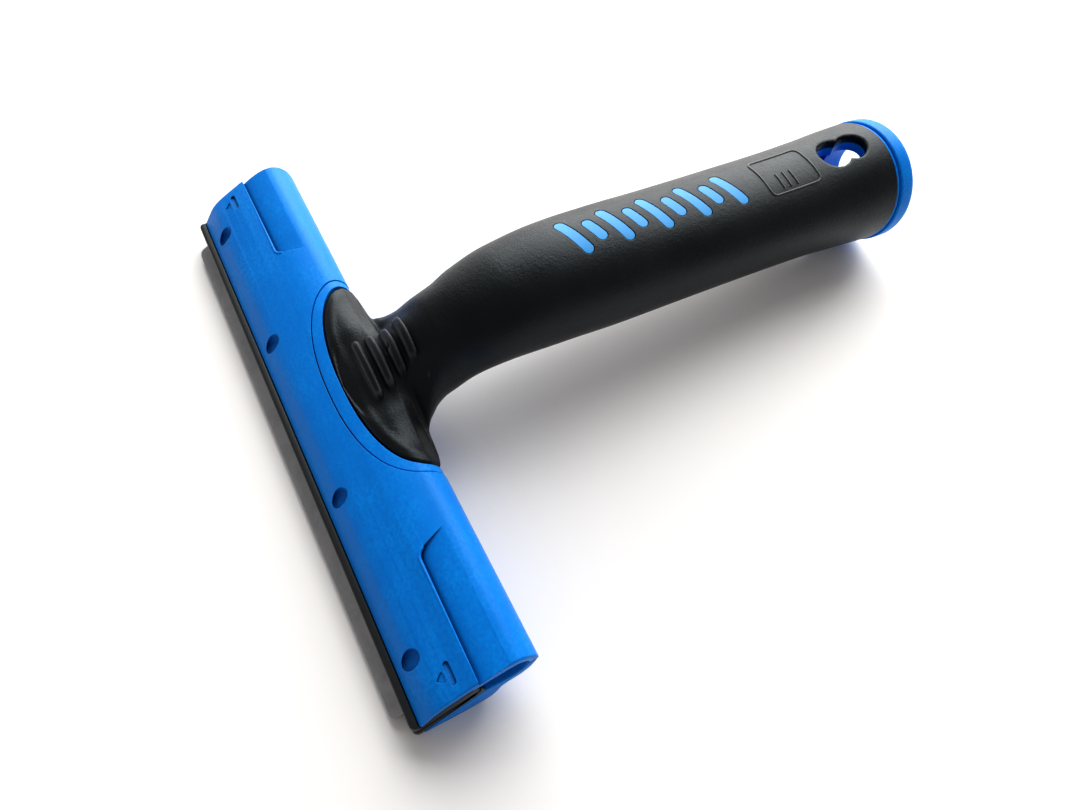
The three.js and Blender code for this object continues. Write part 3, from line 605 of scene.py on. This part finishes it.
def gripAt(y):
    ridge, floor, side, flare, half = (smoothRow(gripRows, y - handle["start"], k) for k in range(1, 6))
    if y < neck["centre"]:
        back = min((neck["centre"] - y) / (neck["centre"] - shieldFront), 0.9995)
        half = shieldHalf * (1 - back ** neck["power"]) ** (1 / neck["power"])
    return ridge, floor, side, flare, half


def gripRing(y, wall, narrow, top, under):
    ridge, floor, side, flare, half = gripAt(y)
    half = (min(half, narrow) if y < handle["start"] + 9 else half) - wall
    ridge, floor = ridge - wall, floor + wall
    side = min(max(side, floor + 0.5), ridge - 0.5)
    reach = handle["bellReach"]
    edge = math.exp(-((half / reach) ** 2))
    ring = []
    for i in range(top):
        turn = math.pi * i / top
        x = half * math.cos(turn)
        bell = (math.exp(-((x / reach) ** 2)) - edge) / (1 - edge)
        ring.append((x, y, side + (ridge - side) * (flare * bell + (1 - flare) * math.sin(turn))))
    for i in range(under):
        turn = math.pi * i / under
        ring.append((-half * math.cos(turn), y, side - (side - floor) * math.sin(turn)))
    return ring


def steps(a, b, size):
    n = max(1, round((b - a) / size))
    return [a + (b - a) * i / n for i in range(n)]


def gripLoft(name, ys, wall, narrow, top=48, under=28):
    return ringSurface(name, [gripRing(y, wall, narrow, top, under) for y in ys])


def endSlab():
    # everything past the tube's end, square to it, for trimming
    turn = math.radians(handle["tilt"])
    side = gripAt(seamY)[2]
    return barAlongX("endSlab", [(seamY + y * math.cos(turn) - z * math.sin(turn),
                                  side + y * math.sin(turn) + z * math.cos(turn))
                                 for y, z in ((0, -40), (30, -40), (30, 40), (0, 40))], -40, 40)


def endLoop(inset, back, count=96):
    # a ring of the tube's end, inset by a wall and moved along its axis
    turn = math.radians(handle["tilt"])
    ridge, floor, _, _, half = gripAt(seamY)
    tall, middle = (ridge - floor) / 2 - inset, (ridge + floor) / 2
    out = []
    for i in range(count):
        a = 2 * math.pi * i / count
        z = tall * math.sin(a)
        out.append(((half - inset) * math.cos(a), seamY + back * math.cos(turn) - z * math.sin(turn),
                    middle + back * math.sin(turn) + z * math.cos(turn)))
    return out


hole = {"front": 4.9, "back": 4.4, "spacing": 6.0, "toSeam": 6.6, "edge": 0.6}
holeY = seamY - hole["toSeam"]


def holeCut(grow=0.0):
    lobes = [plateAlongZ("holeCut", circle(hole[key] + grow, 0, y), -5, 50)
             for key, y in (("back", holeY), ("front", holeY - hole["spacing"]))]
    return combine(*lobes, "UNION")


def holeDistance(x, y):
    return min(math.hypot(x, y - holeY) - hole["back"], math.hypot(x, y - holeY + hole["spacing"]) - hole["front"])


pit = {"width": 30, "depth": 0.9, "ease": 6.0, "sideGap": 2.0, "sideEase": 7.0}
rib = {"count": 4, "width": 2.4, "height": 1.55, "first": 13.6, "last": 24.4, "half": 9.2, "shrink": 0.9}
border = {"rise": 0.34, "from": 2.9, "wide": 1.8, "fade": 3}


def clamp(value):
    return min(max(value, 0.0), 1.0)


def ease(value):
    t = clamp(value)
    return t * t * (3 - 2 * t)


def roundedEdge(radius, distance):
    # how far a rounded edge has dropped at this distance inside it
    return radius - math.sqrt(max(radius * radius - (radius - max(distance, 0)) ** 2, 0)) if distance < radius else 0.0


def ribLift(x, y):
    # a pit, dying away before the neck's steep sides, and the ribs that stand in it
    middle = min(max(y, rib["first"] - 0.5), rib["last"] + 0.5)
    out = math.hypot(x, y - middle) - pit["width"] / 2
    sides = ease((gripAt(y)[4] - pit["sideGap"] - abs(x)) / pit["sideEase"])
    lift = -pit["depth"] * ease(-out / pit["ease"]) * sides
    radius = rib["width"] / 2
    for i in range(rib["count"]):
        ribY = rib["first"] + i * (rib["last"] - rib["first"]) / (rib["count"] - 1)
        flat = rib["half"] - i * rib["shrink"] - radius
        d = math.hypot(max(abs(x) - flat, 0.0), y - ribY) / radius
        if d < 1:
            lift += rib["height"] * (1 - d**6) ** 0.8
    return lift


def shieldLift(x, y):
    # the skin's outline on the head: a rounded edge and a low border inside it
    power = neck["power"]
    dy = max(neck["centre"] - y, 0.0)
    f = ((abs(x) / shieldHalf) ** power + (dy / (neck["centre"] - shieldFront)) ** power) ** (1 / power)
    d = math.hypot(x, dy) * (1 / max(f, 0.05) - 1)
    rise = border["rise"] * math.exp(-(((d - border["from"]) / border["wide"]) ** 2))
    return rise * clamp((neck["centre"] - y) / border["fade"]) - roundedEdge(handle["shieldEdge"], d)


def skinLift(x, y):
    # what stands up from, or sinks into, the plain skin
    lift = -roundedEdge(hole["edge"], holeDistance(x, y))
    if y < 30:
        lift += ribLift(x, y)
    if y < neck["centre"] + 1:
        lift += shieldLift(x, y)
    return lift


class Tree:
    # a Geometry Nodes tree with named inputs, run on an object and kept as a plain mesh
    def __init__(self, name, **inputs):
        self.tree = bpy.data.node_groups.new(name, "GeometryNodeTree")
        face = self.tree.interface
        face.new_socket("Geometry", in_out="INPUT", socket_type="NodeSocketGeometry")
        face.new_socket("Geometry", in_out="OUTPUT", socket_type="NodeSocketGeometry")
        self.ids = {key: face.new_socket(key, in_out="INPUT", socket_type="NodeSocket" + kind).identifier
                    for key, kind in {**inputs, "finish": "Material"}.items()}
        self.group = self.tree.nodes.new("NodeGroupInput")
        self.name = name

    def __getitem__(self, key):
        return self.group.outputs[key]

    def add(self, kind, settings=None, inputs=None):
        node = self.tree.nodes.new(kind)
        for key, value in (settings or {}).items():
            setattr(node, key, value)
        for key, value in (inputs or {}).items():
            if isinstance(value, bpy.types.NodeSocket):
                self.tree.links.new(value, node.inputs[key])
            else:
                node.inputs[key].default_value = value
        return node.outputs[0]

    def sum(self, operation, a, b):
        return self.add("ShaderNodeMath", {"operation": operation}, {0: a, 1: b})

    def vector(self, x=0.0, y=0.0, z=0.0):
        return self.add("ShaderNodeCombineXYZ", {}, {0: x, 1: y, 2: z})

    def join(self, *parts):
        node = self.tree.nodes.new("GeometryNodeJoinGeometry")
        for part in parts:
            self.tree.links.new(part, node.inputs[0])
        return node.outputs[0]

    def lower(self, geometry, key, share):
        # moved down by a share of a named input
        return self.add("GeometryNodeTransform", {}, {
            "Geometry": geometry, "Translation": self.vector(z=self.sum("MULTIPLY", self[key], -share))})

    def run(self, geometry, look, points, edges=(), **values):
        real = self.add("GeometryNodeRealizeInstances", {}, {"Geometry": geometry})
        paint = self.add("GeometryNodeSetMaterial", {}, {"Geometry": real, "Material": self["finish"]})
        out = self.tree.nodes.new("NodeGroupOutput")
        self.tree.links.new(paint, out.inputs[0])
        mesh = bpy.data.meshes.new(self.name)
        mesh.from_pydata([(x * mm, y * mm, z * mm) for x, y, z in points], list(edges), [])
        obj = bpy.data.objects.new(self.name, mesh)
        scene.collection.objects.link(obj)
        mod = obj.modifiers.new(self.name, "NODES")
        mod.node_group = self.tree
        for key, value in {**values, "finish": look.material}.items():
            mod[self.ids[key]] = value
        bake(obj)
        return obj


# soft grip: the upper half carries the relief, finely stepped where there is some
skinYs = steps(6.83, 7.4, 0.08) + steps(7.4, 28, 0.24) + steps(28, 146, 1.3) + steps(146, 170.6, 0.42) + [seamY + 4.8]
coreYs = steps(14.5, 20.3, 1.2) + steps(20.3, 24, 0.6) + steps(24, 36, 1.2) + steps(36, seamY + 4.6, 3) + [seamY + 4.8]
skinSteps = {"top": 128, "under": 36}


def skinLoft(name):
    rings = []
    for y in skinYs:
        ring = gripRing(y, 0.0, anyWidth, skinSteps["top"], skinSteps["under"])
        rings.append([(x, y, z + (skinLift(x, y) if i <= skinSteps["top"] else 0)) for i, (x, y, z) in enumerate(ring)])
    return ringSurface(name, rings)


def offsetLine(points, distance):
    out = []
    for i, (a, b) in enumerate(points):
        p, q = points[max(i - 1, 0)], points[min(i + 1, len(points) - 1)]
        run = math.hypot(q[0] - p[0], q[1] - p[1])
        out.append((a - distance * (q[1] - p[1]) / run, b + distance * (q[0] - p[0]) / run))
    return out


bars = {"count": 9, "width": 2.9, "length": 12.4, "short": 7.7, "start": 50.5, "pitch": 5.9, "slant": 0.32, "gap": 0.18,
        "sink": 0.06, "bury": 0.1, "low": 24.0, "high": 60.0}


def barRow(name, grow, look):
    sizes = {"start": handle["start"] + bars["start"], "pitch": bars["pitch"], "width": bars["width"] + 2 * grow,
             "long": bars["length"] + 2 * grow, "short": bars["short"] + 2 * grow, "low": bars["low"],
             "tall": bars["high"] - bars["low"]}
    tree = Tree(name, count="Int", slant="Float", **{key: "Float" for key in sizes})
    line = tree.add("GeometryNodeMeshLine", {}, {"Count": tree["count"], "Offset": tree.vector(y=tree["pitch"]),
                                                 "Start Location": tree.vector(y=tree["start"], z=tree["low"])})
    odd = tree.sum("MODULO", tree.add("GeometryNodeInputIndex"), 2.0)
    turn = tree.vector(z=tree["slant"])
    rows = []
    for key, wanted in (("long", 0.0), ("short", 1.0)):
        plate = tree.add("GeometryNodeCurvePrimitiveQuadrilateral", {}, {"Width": tree[key], "Height": tree["width"]})
        oval = tree.add("GeometryNodeFilletCurve", {"mode": "POLY"}, {
            "Curve": plate, "Count": 10, "Radius": tree.sum("MULTIPLY", tree["width"], 0.499)})
        flat = tree.add("GeometryNodeFillCurve", {"mode": "NGONS"}, {"Curve": oval})
        raised = tree.add("GeometryNodeExtrudeMesh", {"mode": "FACES"}, {
            "Mesh": flat, "Offset": tree.vector(z=1.0), "Offset Scale": tree["tall"], "Individual": False})
        under = tree.add("GeometryNodeFlipFaces", {}, {"Mesh": flat})
        shut = tree.add("GeometryNodeMergeByDistance", {}, {"Geometry": tree.join(raised, under), "Distance": 1e-6})
        pick = tree.add("FunctionNodeCompare", {"data_type": "FLOAT"}, {0: odd, 1: wanted})
        pick.node.operation = "EQUAL"
        rows.append(tree.add("GeometryNodeInstanceOnPoints", {}, {"Points": line, "Selection": pick, "Instance": shut,
                                                                  "Rotation": turn}))
    return faceOut(tree.run(tree.join(*rows), look, [(0, 0, 0)], count=bars["count"], slant=bars["slant"],
                            **{key: size * mm for key, size in sizes.items()}))


softSkin = skinLoft("softSkin")
combine(softSkin, endSlab())
envelope = [(y, z) for y, z in offsetLine(topLine, -1.45) if z > 14.1] + [(20.3, 14.1), (20.3, -10), (-20, -10)]
combine(softSkin, barAlongX("envelope", envelope, -45, 45))
combine(softSkin, gripLoft("inside", coreYs, handle["wall"] - handle["gap"], handle["neckHalf"]))
combine(softSkin, holeCut())
combine(softSkin, barRow("barWindows", bars["gap"], softGrip))
inlay = barRow("inlayBars", 0.0, inlayBlue)
combine(inlay, gripLoft("outside", steps(60, 130, 1.0) + [130], bars["sink"], anyWidth, 96, 36), "INTERSECT")
combine(inlay, gripLoft("bed", steps(58, 132, 1.0) + [132], handle["wall"] - bars["bury"], anyWidth, 96, 36))
finishPiece(inlay, "inlayBars", "head", inlayBlue, ["handle_core"], 40)

# raised lines near the end
badge = {"half": 6.5, "from": 128.5, "to": 145.0, "corner": 1.8, "width": 0.62, "lift": -0.02, "step": 0.4,
         "strokes": {"from": 0.4, "to": 5.3, "y": (133.0, 135.3, 137.6)}, "above": 60}


def lineTree(name, surface, points, edges, look):
    # lines dropped straight down onto a surface and given a round section
    tree = Tree(name, surface="Object", radius="Float", lift="Float", spacing="Float")
    info = tree.add("GeometryNodeObjectInfo", {"transform_space": "RELATIVE"}, {0: tree["surface"]})
    curve = tree.add("GeometryNodeMeshToCurve", {}, {"Mesh": tree["Geometry"]})
    fine = tree.add("GeometryNodeResampleCurve", {"mode": "LENGTH"}, {"Curve": curve, "Length": tree["spacing"]})
    ray = tree.add("GeometryNodeRaycast", {}, {"Target Geometry": info.node.outputs["Geometry"],
                                               "Ray Direction": (0, 0, -1), "Ray Length": 1.0})
    lifted = tree.add("ShaderNodeVectorMath", {"operation": "ADD"}, {
        0: ray.node.outputs["Hit Position"], 1: tree.vector(z=tree["lift"])})
    laid = tree.add("GeometryNodeSetPosition", {}, {"Geometry": fine, "Position": lifted})
    section = tree.add("GeometryNodeCurvePrimitiveCircle", {}, {"Resolution": 10, "Radius": tree["radius"]})
    rail = tree.add("GeometryNodeCurveToMesh", {}, {"Curve": laid, "Profile Curve": section, "Fill Caps": True})
    return faceOut(tree.run(rail, look, points, edges, surface=surface, radius=badge["width"] * mm / 2,
                            lift=badge["lift"] * mm, spacing=badge["step"] * mm))


frameLine = fillet([(-badge["half"], badge["from"]), (badge["half"], badge["from"]), (badge["half"], badge["to"]),
                    (-badge["half"], badge["to"])], badge["corner"], 8)
linePoints = [(x, y, badge["above"]) for x, y in frameLine]
lineEdges = [(i, (i + 1) % len(frameLine)) for i in range(len(frameLine))]
for y in badge["strokes"]["y"]:
    lineEdges.append((len(linePoints), len(linePoints) + 1))
    linePoints += [(badge["strokes"][key], y, badge["above"]) for key in ("from", "to")]
# the raised lines take the paler finish, a painted highlight
badgeLines = lineTree("badgeLines", softSkin, linePoints, lineEdges, litGrip)
finishPiece(softSkin, "softSkin", "head", softGrip, ["grip_sleeve"], 50)
finishPiece(badgeLines, "badgeLines", "head", litGrip, ["grip_sleeve"], 60)

# handle core: a flange in the head's cut-out, the tube, and the thin ring that shows at its end
core = {"band": 0.15, "gap": -0.28, "skinGap": 0.3, "boreHalf": 16.2,
        "ring": [(2.4, -0.6), (2.4, 0.35), (0.45, 0.3), (0.2, 0.5), (0.2, 1.0), (0.4, 1.2), (3.0, 1.2)]}


def flange(name, drop):
    # filled to the underside of the head's top, less the drop, inside the neck's cut-out
    back, floor = tongue["back"], tongue["floor"]
    section = [(y, z) for y, z in offsetLine(topLine, -drop) if 2.6 < y < back]
    section += [(back, 13.8), (back, floor), (12.4, floor), (12.4, 16.9), (9.2, 15.9), (6.6, 15),
                onBlade(holderBack - 1, roofHeight)]
    plan = plateAlongZ("plan", neckLine(neck["halfWidth"], neck["front"], core["gap"]), 0, overTop)
    return combine(barAlongX(name, section, -40, 40), plan, "INTERSECT")


handleCore = flange("core", core["band"])
combine(handleCore, plateAlongZ("bandCut", neckLine(shieldHalf, shieldFront, core["skinGap"]), 0, overTop))
combine(handleCore, flange("deep", handle["shield"]), "UNION")
for side in (-1, 1):
    inner, outer = side * tongue["halfWidth"], side * 60
    combine(handleCore, plateAlongZ("trim", [(inner, -5), (outer, -5), (outer, 30), (inner, 30)], 0, 13.9))
tube = gripLoft("tube", coreYs, handle["wall"], handle["neckHalf"])
combine(tube, endSlab())
combine(handleCore, tube, "UNION")
combine(handleCore, ringSurface("thinRing", [endLoop(inset, back) for inset, back in core["ring"]]), "UNION")
bothWalls = handle["wall"] + handle["coreWall"]
combine(handleCore, gripLoft("bore", steps(62.3, seamY - 3, 3) + [seamY + 8], bothWalls, core["boreHalf"]))
combine(handleCore, ringSurface("boreEnd", [endLoop(bothWalls, back) for back in (-3, 9)]))
combine(handleCore, holeCut())
for x in neckScrewX:
    combine(handleCore, plateAlongZ("bore", circle(boss["bore"], x, boss["y"], 20), 5, 17))
finishPiece(handleCore, "handleCore", "head", bluePlastic, ["handle_core"], 40)

# end ring
endRing = {"from": 1.7, "to": 7.1, "proud": 0.35, "shoulder": 1.4, "seat": 1.5, "sleeve": 5.5, "sleeveTo": -1.4,
           "bore": 6.6, "holeGap": 0.3}
profile = fillet([(endRing["bore"], endRing["sleeveTo"]), (endRing["bore"], endRing["to"]),
                  (-endRing["proud"], endRing["to"]), (-endRing["proud"], endRing["from"]),
                  (endRing["shoulder"], endRing["from"]), (endRing["shoulder"], endRing["seat"]),
                  (endRing["sleeve"], endRing["seat"]), (endRing["sleeve"], endRing["sleeveTo"])],
                 [0.2, 1.2, 2.2, 0.6, 0, 0, 0, 0.2], 8)
rim = ringSurface("rim", [endLoop(inset, back, 128) for inset, back in profile], closed=True)
combine(rim, holeCut(endRing["holeGap"]))
finishPiece(rim, "endRing", "head", bluePlastic, ["end_ring"], 30)
print("handle made")

# screws and pins
screw = {"head": 2.4, "tall": 1.15, "shank": 1.2, "long": 9.45, "cross": 0.55, "crossLong": 2.9}
screwTop = 8.35


def screwTree(name, points):
    # a tapered head and shank under each point, with a cross cut in the head
    tree = Tree(name, **{key: "Float" for key in screw})
    headPart = tree.add("GeometryNodeMeshCone", {}, {
        "Vertices": 32, "Side Segments": 4, "Radius Top": tree["head"],
        "Radius Bottom": tree.sum("MULTIPLY", tree["head"], 0.8), "Depth": tree["tall"]})
    shankPart = tree.add("GeometryNodeMeshCone", {}, {
        "Vertices": 20, "Radius Top": tree.sum("MULTIPLY", tree["shank"], 0.7), "Radius Bottom": tree["shank"],
        "Depth": tree["long"]})
    solid = tree.add("GeometryNodeMeshBoolean", {"operation": "UNION"}, {
        "Mesh 2": tree.join(tree.lower(headPart, "tall", 1.0), tree.lower(shankPart, "tall", 0.2))})
    slots = []
    for across, along in (("crossLong", "cross"), ("cross", "crossLong")):
        box = tree.add("GeometryNodeMeshCube", {}, {"Size": tree.vector(tree[across], tree[along], tree["tall"])})
        slots.append(tree.lower(box, "tall", 1.1))
    cut = tree.add("GeometryNodeMeshBoolean", {"operation": "DIFFERENCE"}, {
        "Mesh 1": solid, "Mesh 2": tree.join(*slots)})
    put = tree.add("GeometryNodeInstanceOnPoints", {}, {"Points": tree["Geometry"], "Instance": cut})
    return tree.run(put, zincSteel, points, **{key: size * mm for key, size in screw.items()})


def pinTree(name, points, depth):
    tree = Tree(name, radius="Float", depth="Float", tilt="Float")
    body = tree.add("GeometryNodeMeshCylinder", {}, {"Vertices": 28, "Radius": tree["radius"], "Depth": tree["depth"]})
    put = tree.add("GeometryNodeInstanceOnPoints", {}, {"Points": tree["Geometry"], "Instance": body,
                                                        "Rotation": tree.vector(x=tree["tilt"])})
    return tree.run(put, zincSteel, points, radius=pins["radius"] * mm, depth=depth * mm,
                    tilt=math.radians(blade["tilt"]))


screws = screwTree("headScrews", [(x, boss["y"], screwTop) for x in screwX])
finishPiece(screws, "headScrews", "head", zincSteel,
            ["shell_screw_%d" % i for i in (1, 2, 3, 4)] + ["neck_screw_1", "neck_screw_2"])
pinLow, pinHigh = lowUnder + pins["buried"], pins["high"]
holderPins = pinTree("holderPins", [(x, *onBlade(pins["depth"], (pinLow + pinHigh) / 2)) for x in pins["x"]],
                     pinHigh - pinLow)
finishPiece(holderPins, "holderPins", "holder", zincSteel, ["holder_pin_%d" % i for i in (1, 2, 3, 4)])
for name in ("detent_spring_1", "detent_spring_2"):
    leaf = frame["nodes"][name].data
    leaf.materials.clear()
    leaf.materials.append(bladeSteel.material)
print("fasteners made")

# floor, light and camera
studio = {"sky": 0.32, "skyColour": (1, 0.96, 0.95, 1)}
lamps = {"key": {"spot": (-0.56, 0.6, 0.54), "aim": (0, 0.05, 0), "energy": 20.0, "size": 1.1,
                 "colour": (1, 0.99, 0.97)},
         "side": {"spot": (-0.75, 0.1, 0.25), "aim": (0, 0.05, 0.02), "energy": 0.8, "size": 0.4, "colour": (1, 1, 1)}}
floor = addObject("floor", [(x * 1000, y * 1000, 0) for x, y in ((-2, -2), (2, -2), (2, 2), (-2, 2))], [(0, 1, 2, 3)])
paper = Look("paper", Roughness=0.7)
paper.drive(Base_Color=paper.blend(paper.grain(60, 2), (0.86, 0.855, 0.85), (0.9, 0.895, 0.89)))
floor.data.materials.append(paper.material)
# nothing of the floor shows from below, so the underside can be looked at
paperTree = paper.tree
clear = paperTree.nodes.new("ShaderNodeBsdfTransparent")
oneSided = paperTree.nodes.new("ShaderNodeMixShader")
paperTree.links.new(paper.node("NewGeometry", out=6).socket, oneSided.inputs[0])
paperTree.links.new(paper.shader.outputs[0], oneSided.inputs[1])
paperTree.links.new(clear.outputs[0], oneSided.inputs[2])
paperTree.links.new(oneSided.outputs[0], paperTree.nodes["Material Output"].inputs[0])
scene.view_settings.view_transform = "Standard"
scene.view_settings.look = "Medium High Contrast"
world = bpy.data.worlds.new("studio")
scene.world = world
world.use_nodes = True
sky = world.node_tree.nodes["Background"].inputs
sky[0].default_value = studio["skyColour"]
sky[1].default_value = studio["sky"]
for name, lamp in lamps.items():
    light = bpy.data.objects.new(name, bpy.data.lights.new(name, "AREA"))
    light.data.energy = lamp["energy"]
    light.data.size = lamp["size"]
    light.data.color = lamp["colour"]
    light.location = lamp["spot"]
    light.rotation_euler = (Vector(lamp["aim"]) - Vector(lamp["spot"])).to_track_quat("-Z", "Y").to_euler()
    scene.collection.objects.link(light)

# the camera stands over the head, looking down and along the handle
view = {"sensor": 36, "lens": 27.1667, "spot": (0.11686, -0.00403, 0.18991), "right": (0.46545, 0.88475, 0.02394),
        "up": (-0.76305, 0.38742, 0.51736), "back": (0.44846, -0.25907, 0.85543)}
camera = bpy.data.objects.new("camera", bpy.data.cameras.new("camera"))
scene.collection.objects.link(camera)
camera.data.sensor_width = view["sensor"]
camera.data.lens = view["lens"]
camera.data.clip_start = 0.01
camera.matrix_world = Matrix([*zip(view["right"], view["up"], view["back"], view["spot"]), (0, 0, 0, 1)])
scene.camera = camera
